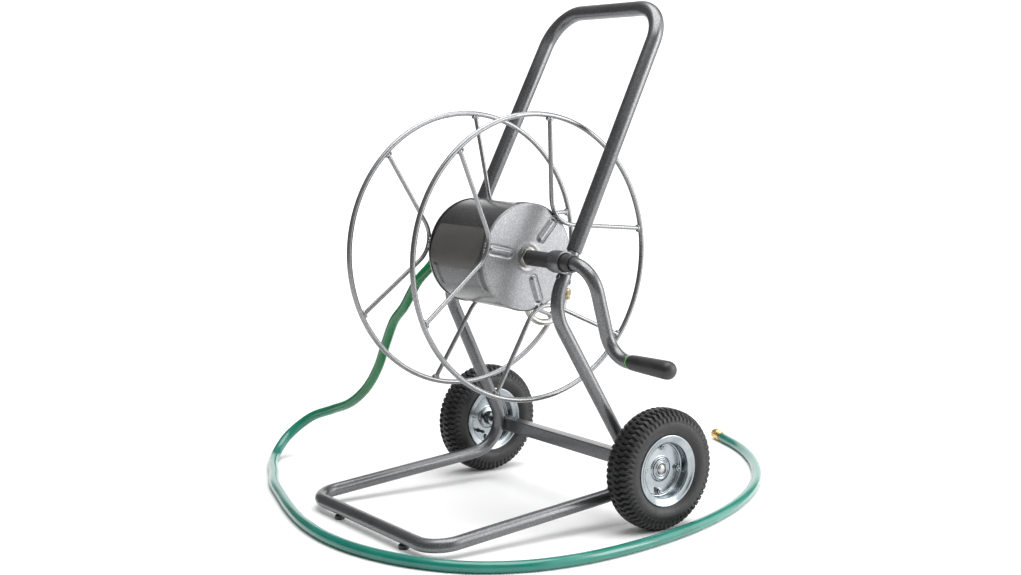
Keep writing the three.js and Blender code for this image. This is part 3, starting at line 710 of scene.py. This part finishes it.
# ------------------------------------------------------------------ reel
for tag, s in SIDES:
    t = 2 * np.pi * np.arange(240) / 240
    ring = np.c_[np.full(240, s * RING_X), RING_R * np.cos(t), RING_R * np.sin(t)]
    # butt weld where the hoop closes
    rr = RING_WIRE + 0.5 * np.exp(-((((np.degrees(t) - 100 + 180) % 360) - 180) / 1.3) ** 2)
    mesh_object("ring_fine_" + tag, [tube(ring, rr, 20, closed=True)], M_WIRE, "reel", replaces=("ring_" + tag,))
    for k in "abc":
        e1, ap, e2 = [math.radians(a) for a in SPOKES[tag][k]]
        rEnd = RING_R - RING_WIRE - 0.3 - 1.3
        flat = fillet([(rEnd * math.cos(e1), rEnd * math.sin(e1), 0), (SPOKE_CORNER_R * math.cos(ap), SPOKE_CORNER_R * math.sin(ap), 0), (rEnd * math.cos(e2), rEnd * math.sin(e2), 0)], [SPOKE_BEND], 4)
        flat = resample(flat, 6)
        rad = np.hypot(flat[:, 0], flat[:, 1])
        x = SPOKE_X + (RING_X - SPOKE_X) * np.maximum(0, rad - SPOKE_APEX_R) / (rEnd - SPOKE_APEX_R)
        line = np.c_[s * x, flat[:, 0], flat[:, 1]]
        line = np.vstack([line[0] + unit(line[0] - line[1]) * 3.2, line, line[-1] + unit(line[-1] - line[-2]) * 3.2])
        parts = [tube(line, SPOKE_R, 18, cap=0.6)]
        for j, e in enumerate((line[0], line[-1])):
            a = math.atan2(e[2], e[1])
            for q in (-1, 1):
                c = np.array([s * RING_X, (RING_R - 6.2) * math.cos(a + q * 0.014), (RING_R - 6.2) * math.sin(a + q * 0.014)])
                parts.append(blob(c, 4.1, 7 * j + q + ord(k), (1.1, 1, 1)))
        ca = np.array([s * (DISC_X + DISC_T + 0.8), 94.5 * math.cos(ap), 94.5 * math.sin(ap)])
        tang = np.array([0, -math.sin(ap), math.cos(ap)])
        for q in (-1, 1):
            parts.append(blob(ca + tang * 5.5 * q, 3.6, 40 + q + ord(k), (0.8, 1.3, 1.3)))
        mesh_object(f"spoke_fine_{tag}_{k}", parts, M_WIRE, "reel", replaces=(f"spoke_{tag}_{k}",))


def drum_parts():
    """drum wall with rolled ends, a lap seam and pressed ribs"""
    n, m = 288, 90
    th = 2 * np.pi * np.arange(n) / n
    xs = np.linspace(-86.0, 86.0, m)
    X, T = np.meshgrid(xs, th, indexing="ij")
    r = np.full_like(X, DRUM_R)
    # rolled edges
    r -= 1.6 * np.exp(-((np.abs(X) - 86) / 1.4) ** 2)
    # pressed ribs that run round the wall beside each end
    for sgn in (1, -1):
        for base in (204.0, 324.0, 84.0):
            a = np.radians(base)
            du = (((T - a + np.pi) % (2 * np.pi)) - np.pi) * DRUM_R
            dist = np.hypot(np.maximum(np.abs(du) - 17, 0), X - sgn * 67.5)
            r += 2.0 * (1 - smooth(dist, 3.0, 7.5))
    # lap seam
    du = (((T - math.radians(262) + np.pi) % (2 * np.pi)) - np.pi) * DRUM_R
    r += 0.7 * (smooth(du, -0.4, 0.4) - smooth(du, 7, 15))
    V = np.stack([X, r * np.cos(T), r * np.sin(T)], -1).reshape(-1, 3)
    F = []
    for i in range(m - 1):
        for k in range(n):
            F.append((i * n + k, i * n + (k + 1) % n, (i + 1) * n + (k + 1) % n, (i + 1) * n + k))
    return V, F


def smooth(x, a, b):
    t = np.clip((x - a) / (b - a), 0, 1)
    return t * t * (3 - 2 * t)


# the drum wall takes the darkened copy of the reel paint: painted shade
drum = mesh_object("drum_wall", [drum_parts()], M_DRUM_SHADED, "reel", replaces=("drum_shell",), angle=50)

# blank panel on the drum
n, m = 40, 60
V, F = [], []
for i in range(n + 1):
    for k in range(m + 1):
        a = math.radians(146.3 + (193.6 - 146.3) * i / n)
        q = i / n
        lo, hi = -72 - 15.5 * q, 67 - 23 * q + 22 * math.sin(math.pi * q)
        x = lo + (hi - lo) * k / m
        V.append((x, (DRUM_R + 0.35) * math.cos(a), (DRUM_R + 0.35) * math.sin(a)))
for i in range(n):
    for k in range(m):
        a = i * (m + 1) + k
        F.append((a, a + m + 1, a + m + 2, a + 1))
mesh_object("drum_blank_panel", [(V, F)], M_LABEL, "reel")


def disc_parts(tag, s):
    """end disc: pressed radial ribs, a pressed ring round the shaft and a folded rim"""
    n = 360
    rs = np.r_[np.linspace(12.6, 30, 14), np.linspace(31, 90, 66), np.linspace(91, DISC_R - 0.2, 10)]
    th = 2 * np.pi * np.arange(n) / n
    R, T = np.meshgrid(rs, th, indexing="ij")
    h = np.full_like(R, DISC_T)
    Y, Z = R * np.cos(T), R * np.sin(T)
    for k in "abc":
        a = math.radians(SPOKES[tag][k][1])
        p = Y * math.cos(a) + Z * math.sin(a)
        q = -Y * math.sin(a) + Z * math.cos(a)
        dist = np.hypot(np.maximum(np.abs(p - 61.5) - 19.0, 0), q)
        h += 3.4 * (1 - smooth(dist, 2.6, 6.2))
        h -= 1.3 * np.exp(-((dist - 8.0) / 1.5) ** 2)
    h += 0.8 * np.exp(-((R - 24) / 3.0) ** 2)
    h -= 1.2 * smooth(R, 94.5, DISC_R)
    front = np.stack([s * (DISC_X + h), Y, Z], -1).reshape(-1, 3)
    m = len(rs)
    F = []
    for i in range(m - 1):
        for k in range(n):
            f = (i * n + k, (i + 1) * n + k, (i + 1) * n + (k + 1) % n, i * n + (k + 1) % n)
            F.append(f if s > 0 else tuple(reversed(f)))
    b0 = len(front)
    rim = np.stack([np.full(n, s * (DISC_X - 3.0)), DISC_R * np.cos(th), DISC_R * np.sin(th)], -1)
    rim1 = np.stack([np.full(n, s * (DISC_X + 0.2)), DISC_R * np.cos(th), DISC_R * np.sin(th)], -1)
    V = np.vstack([front, rim1, rim])
    e = (m - 1) * n
    for k in range(n):
        q = (k + 1) % n
        for a, b in ((e, b0), (b0, b0 + n)):
            f = (a + k, b + k, b + q, a + q)
            F.append(f if s > 0 else tuple(reversed(f)))
    return V, F


for tag, s in SIDES:
    # the end discs take the lightened copy of the reel paint: painted light
    mesh_object("drum_disc_fine_" + tag, [disc_parts(tag, s)], M_DISC_LIT, "reel", replaces=("drum_disc_" + tag,), angle=60)
    x0 = DISC_X + DISC_T + 0.3
    washer = revolve(soften([(0, SHAFT_R + 0.3), (0, 18.6), (1.6, 18.6), (1.6, SHAFT_R + 0.3)], 0.3, 2), 48, (s * x0, 0, 0), (s, 0, 0))
    hexn = revolve(soften([(1.7, SHAFT_R + 0.6), (1.7, 18.2), (5.4, 18.2), (6, 17.0), (6, SHAFT_R + 0.6)], 0.4, 2), 6, (s * x0, 0, 0), (s, 0, 0))
    mesh_object("hub_washer_fine_" + tag, [washer, hexn], M_STEEL, "reel", replaces=("hub_washer_" + tag,), angle=25)
    a = DISC_X + DISC_T + 6.6
    L = SLEEVES[tag][0] - 9.3 - a
    R = SPACER_R
    prof = soften([(0, SHAFT_R + 0.3), (0, R - 0.8), (1.2, R), (L - 1.4, R), (L, R - 0.5), (L, SHAFT_R + 0.3)], 0.3, 2)
    mesh_object("shaft_sleeve_fine_" + tag, [revolve(prof, 56, (s * a, 0, 0), (s, 0, 0))], M_BLACK, "reel", replaces=("shaft_sleeve_" + tag,))
mesh_object("reel_shaft_fine", [rod(SHAFT_R, (-183, 0, 0), (140, 0, 0), 48)], M_FRAME, "reel", replaces=("reel_shaft",))

# outlet gooseneck and fitting
GX = 66.0
goose = fillet([(GX, 14, -80), (GX, 14, -123.5), (GX, 100, -123.5), (GX, 102, -81)], [42.5, 41], 4)
goose = goose[np.hypot(goose[:, 1], goose[:, 2]) > DRUM_R + 0.5]
t = 2 * np.pi * np.arange(40) / 40
foot = np.c_[GX + 6.6 * np.cos(t), 15.5 + 6.6 * np.sin(t), -np.sqrt(DRUM_R ** 2 - (15.5 + 6.6 * np.sin(t)) ** 2) - 0.4]
mesh_object("gooseneck_fine", [tube(goose, 6.0, 28, cap=0.5), bead(foot, 1.3, seed=9)], M_STEEL, "reel", replaces=("gooseneck_tube",))
od = unit(np.array((GX, 102, -81.0)) - np.array((GX, 100, -123.5)))
o0 = (GX, 101.86, -84)
prof = [(0, 6.3), (0, 9.4), (0.6, 9.9), (6.4, 9.9), (6.4, 9.0), (7.4, 9.0), (7.4, 11.4)]
for k in range(4):
    a = 8.2 + k * 2.4
    prof += [(a, 11.4), (a + 0.6, 12.4), (a + 1.2, 12.4), (a + 1.8, 11.4)]
prof += [(18.6, 11.4), (20, 10.8), (20, 8.6), (9, 8.6), (9, 6.3)]
hexb = revolve(soften([(0.2, 6.5), (0.2, 10.9), (6.0, 10.9), (6.0, 6.5)], 0.5, 2), 6, o0, od)
mesh_object("outlet_fitting_fine", [revolve(prof, 56, o0, od), hexb], M_BRASS_DULL, "reel", replaces=("outlet_fitting",), angle=28)

# crank and grip
CRANK_R, GRIP_Y, GRIP_Z, GRIP_X0, GRIP_LEN = 12.0, 39.0, -158.5, 322.6, 109.0
crank = fillet([(140.3, 0, 0), (267, 0, 0), (278, GRIP_Y, GRIP_Z), (GRIP_X0, GRIP_Y, GRIP_Z)], [52, 46], 3)
rr = np.full(len(crank), CRANK_R)
mesh_object("crank_fine", [tube(crank, rr, 36, cap=1.0)], M_FRAME, "reel", replaces=("crank_arm",))
g0 = (GRIP_X0, GRIP_Y, GRIP_Z)
mesh_object("grip_ring_fine", [revolve(soften([(0.3, 6.4), (0.3, 11.2), (3.3, 11.4), (3.3, 6.4)], 0.5, 3), 48, g0)], M_GREEN, "grip", replaces=("grip_ring",))
gp = [(3.5, 6.4), (3.5, 11.3), (4.4, 12.2), (7, 12.9), (12, 13.4), (26, 13.9), (44, 14.4), (60, 14.9), (76, 15.3), (88, 15.6), (94, 15.6), (98, 15.2), (101.4, 14.2), (104.4, 12.2), (106.8, 9.4), (108.3, 6.0), (GRIP_LEN - 0.1, 2.6), (GRIP_LEN, 0)]
prof = [(86, 0), (86, 6.4)] + gp
mesh_object("grip_fine", [revolve(prof, 64, g0)], M_GRIP, "grip", replaces=("grip",), angle=50)

# ------------------------------------------------------------------ wheels


def tyre_parts(s):
    """pneumatic tyre: smooth side walls, slanted lugs that run from each shoulder to a solid middle rib"""
    lugs, n = 60, 60 * 14
    half = [(20.2, 53.4), (20.8, 59.5), (22.2, 63.2), (24.4, 66.4), (26.8, 69.6), (28.6, 73.0), (29.6, 77.0), (29.9, 81.0), (29.6, 85.0), (29.0, 88.0), (28.9, 88.8), (29.1, 89.6),
            (28.6, 92), (27.8, 95), (26.6, 98), (25.0, 101), (23.0, 103.6), (20.6, 105.8), (17.8, 107.5), (14.8, 108.7), (11.6, 109.4), (8.4, 109.75), (5.4, 109.9), (3.0, 109.95), (1.2, 110.0)]
    prof = half + [(-a, r) for a, r in half[::-1]]
    inner = [(-16, 53.4), (-17, 60), (-24, 78), (-21, 97), (0, 103), (21, 97), (24, 78), (17, 60), (16, 53.4)]
    P = np.array(prof)
    d = np.gradient(P, axis=0)
    nrm = np.c_[d[:, 1], -d[:, 0]]
    nrm /= np.linalg.norm(nrm, axis=1)[:, None]
    nrm *= np.sign((nrm * (P - np.array([0, 84])))[:, :].sum(1))[:, None]
    arc = np.r_[0, np.cumsum(np.linalg.norm(np.diff(P, axis=0), axis=1))]
    mid = arc[-1] / 2
    t = 2 * np.pi * np.arange(n) / n
    rows = []
    for i, (a, r) in enumerate(P):
        sgn = 1 if arc[i] < mid else -1
        off = abs(arc[i] - mid)                       # distance along the section from the middle
        phase = lugs * t / (2 * np.pi) + (0.0 if sgn > 0 else 0.5) + 0.022 * off + 0.16 * math.sin(off * 0.42)
        f = (phase % 1.0)
        edge = 0.15
        lug = smooth(f, 0.0, edge) * (1 - smooth(f, 0.62, 0.62 + edge))
        on = smooth(np.array(r), 88.2, 91.0) * smooth(np.array(off), 2.0, 3.2)
        depth = 4.4 - 2.0 * smooth(np.array(off), 20, 34)
        # no sipe is cut across the lugs: sipe stays zero and is not used
        sipe = 0.0
        cutm = depth * (1 - lug) * on
        rad = np.full(n, r) - cutm * nrm[i, 1] * 1.0
        ax = np.full(n, a) - cutm * nrm[i, 0] * 1.0
        rows.append((ax, rad))
    for a, r in inner:
        rows.append((np.full(n, a), np.full(n, r)))
    c = np.array([s * WHEEL_X, AXLE_Y, AXLE_Z])
    V = []
    for ax, rad in rows:
        V.append(np.c_[c[0] + s * ax, c[1] + rad * np.cos(t), c[2] + rad * np.sin(t)])
    V = np.vstack(V)
    m = len(rows)
    F = []
    for i in range(m):
        j = (i + 1) % m
        for k in range(n):
            q = (k + 1) % n
            f = (i * n + k, i * n + q, j * n + q, j * n + k)
            F.append(f if s < 0 else tuple(reversed(f)))
    return V, F


BOLT_R, BOLT_TURN = 40.0, -4
for tag, s in SIDES:
    c = np.array([s * WHEEL_X, AXLE_Y, AXLE_Z])
    wheel = "wheel_" + tag
    mesh_object("tyre_fine_" + tag, [tyre_parts(s)], M_TYRE, wheel, replaces=("tyre_" + tag,), angle=38)
    for o, side in ((1, "outer"), (-1, "inner")):
        prof = [(0.3, 19.7), (0.3, 48.4), (3.6, 50.8), (8, 51.2), (20.4, 51.9), (20.9, 55.5), (21.3, 59.2), (22.6, 63.0), (24.0, 64.6), (24.9, 64.5), (25.2, 63.0), (24.4, 60.6), (23.2, 58.2), (22.2, 55.2), (21.6, 52.4),
                (20.4, 50.6), (18.0, 50.0), (9.0, 49.6), (6.4, 49.2), (5.2, 48.6), (4.9, 47.4), (4.0, 46.6), (2.6, 46.3), (2.2, 45.6), (2.2, 24.5), (2.8, 22.6), (4.4, 21.2), (5.0, 19.7)]
        mesh_object(f"rim_{side}_fine_" + tag, [revolve(soften(prof, 0.35, 2), 128, c, (s * o, 0, 0))], M_ZINC, wheel, replaces=(f"rim_{side}_{tag}",), angle=32)
    # hub barrel, bearing race
    hubp = [(-22, 6.6), (-22, 13.0), (-20, 14), (-6, 14), (-5.6, 19.0), (5.6, 19.0), (6.6, 18.4), (6.8, 16.8), (5.8, 15.8), (5.4, 14.6), (6.2, 13.4), (7.2, 12.8), (7.4, 11.2), (6.6, 10.2), (5.4, 9.6), (4.8, 6.6)]
    mesh_object("wheel_hub_fine_" + tag, [revolve(soften(hubp, 0.4, 2), 96, c, (s, 0, 0))], M_ZINC, wheel, replaces=("wheel_hub_" + tag,), angle=30)
    for i in range(4):
        t = math.radians(90 * i + BOLT_TURN)
        p = c + np.array([0, BOLT_R * math.cos(t), BOLT_R * math.sin(t)])
        parts = []
        washer = revolve(soften([(2.3, 0), (2.3, 7.0), (3.4, 7.0), (3.4, 0)], 0.3, 2, closed=False), 32, p, (s, 0, 0))
        nut = revolve(soften([(3.4, 0), (3.4, 5.9), (7.6, 5.9), (8.2, 5.0), (8.2, 0)], 0.4, 2, closed=False), 6, p, (s, 0, 0))
        tip = revolve([(8.0, 0), (8.0, 2.9), (9.6, 2.9), (10.2, 2.3), (10.2, 0)], 20, p, (s, 0, 0))
        head = revolve(soften([(-2.3, 0), (-2.3, 5.9), (-5.9, 5.9), (-6.6, 5.0), (-6.6, 0)], 0.4, 2, closed=False), 6, p, (s, 0, 0))
        mesh_object(f"rim_bolt_fine_{tag}_{i + 1}", [washer, nut, tip, head], M_ZINC, wheel, replaces=(f"rim_bolt_{tag}_{i + 1}",), angle=25)
    t = math.radians(252)
    ph = c + np.array([0, 36 * math.cos(t), 36 * math.sin(t)])
    hole = revolve([(2.25, 0), (2.25, 2.6), (2.5, 2.6), (2.5, 0)], 24, ph, (s, 0, 0))
    t = math.radians(226)
    p = c + np.array([0, 35 * math.cos(t), 35 * math.sin(t)])
    stem = revolve([(-1.4, 0), (-2.4, 4.2), (-5, 3.8), (-6, 2.8), (-15, 2.6), (-15.4, 3.2), (-21.6, 3.2), (-22, 2.6), (-22, 0)], 24, p, (s, 0, 0))
    mesh_object("valve_stem_fine_" + tag, [stem, hole], M_RUBBER, wheel, replaces=("valve_stem_" + tag,))
    # push-on cap over the axle end
    cap = [(4.9, 0), (4.9, 8.2), (5.6, 8.6), (6.6, 8.6), (7.4, 7.8), (8.6, 6.4), (9.2, 4.0), (9.4, 0)]
    mesh_object("axle_cap_fine_" + tag, [revolve(cap, 40, c, (s, 0, 0))], M_STEEL, "frame", replaces=("axle_cap_" + tag,), angle=40)
mesh_object("axle_rod_fine", [rod(AXLE_R, (-(WHEEL_X + 4.7), AXLE_Y, AXLE_Z), (WHEEL_X + 4.7, AXLE_Y, AXLE_Z), 32)], M_STEEL, "frame", replaces=("wheel_axle",))

# ------------------------------------------------------------------ water inlet elbow
body = revolve(soften([(0, 0), (0, 12.6), (3, 12.6), (3.6, 11.8), (5.0, 11.8), (5.6, 13), (17, 13), (21.2, 10), (22, 0)], 0.8, 3, closed=False), 48, (IN_X + 11.2, 0, 0), (-1, 0, 0))
spout = revolve(soften([(0, 0), (0, 9.4), (SPOUT_LEN, 9.4), (SPOUT_LEN, 0)], 0.5, 2, closed=False), 40, (IN_X, 0, 0), EXIT)
mesh_object("inlet_elbow_fine", [body, spout], M_BRASS, "frame", replaces=("inlet_elbow",))

# ------------------------------------------------------------------ floor and light
def stage_plane():
    me = bpy.data.meshes.new("floor")
    q = 2.45
    me.from_pydata([(q * math.cos(a), q * math.sin(a), 0) for a in np.arange(0, 2 * math.pi, math.pi / 48)], [], [tuple(range(96))])
    m, nt, bs, vec = nodes_of("floor")
    f = noise(nt, vec, 3.0, 2)
    nt.links.new(mapr(nt, f, 0.60, 0.68), bs.inputs["Roughness"])
    bs.inputs["Base Color"].default_value = (0.93, 0.93, 0.93, 1)
    bs.inputs["Specular IOR Level"].default_value = 0.15
    me.materials.append(m)
    ob = bpy.data.objects.new("floor", me)
    bpy.context.scene.collection.objects.link(ob)


stage_plane()
w = bpy.data.worlds.new("world")
w.use_nodes = True
wt = w.node_tree
bg = wt.nodes["Background"]
wc = wt.nodes.new("ShaderNodeTexCoord").outputs["Generated"]


def lobe(d, a, b, gain):
    """soft bright patch of the studio round direction d"""
    n = wt.nodes.new("ShaderNodeVectorMath")
    n.operation = "DOT_PRODUCT"
    wt.links.new(wc, n.inputs[0])
    n.inputs[1].default_value = tuple(unit(d))
    m = wt.nodes.new("ShaderNodeMapRange")
    m.interpolation_type = "SMOOTHSTEP"
    m.inputs["From Min"].default_value = a
    m.inputs["From Max"].default_value = b
    m.inputs["To Min"].default_value = 0.0
    m.inputs["To Max"].default_value = gain
    wt.links.new(n.outputs["Value"], m.inputs["Value"])
    return m.outputs["Result"]


total = maths(wt, "ADD", 0.20, lobe((0.62, 0.76, 0.20), 0.62, 0.90, 1.9))
total = maths(wt, "ADD", total, lobe((-0.80, 0.59, -0.05), 0.80, 0.90, 1.25))
total = maths(wt, "ADD", total, lobe((0, 0, 1), 0.55, 0.95, 0.55))
total = maths(wt, "ADD", total, lobe((0.85, -0.50, 0.25), 0.90, 0.985, 0.35))
wt.links.new(total, bg.inputs[1])
bg.inputs[0].default_value = (1.0, 1.0, 1.0, 1)
bpy.context.scene.world = w
bpy.context.scene.view_settings.view_transform = "Standard"


def area(name, loc, target, size, power, size_y=None):
    l = bpy.data.lights.new(name, "AREA")
    l.energy = power
    l.size = size
    if size_y:
        l.shape = "RECTANGLE"
        l.size_y = size_y
    o = bpy.data.objects.new(name, l)
    bpy.context.scene.collection.objects.link(o)
    o.location = loc
    o.rotation_euler = (Vector(target) - Vector(loc)).to_track_quat("-Z", "Y").to_euler()
    return o


area("key_top", (0.3, 0.2, 3.6), (0, 0, 0.0), 3.4, 150)
area("side_right", (2.3, 2.2, 1.3), (0.0, 0.1, 0.5), 1.3, 42, 2.0)

bpy.context.view_layer.update()
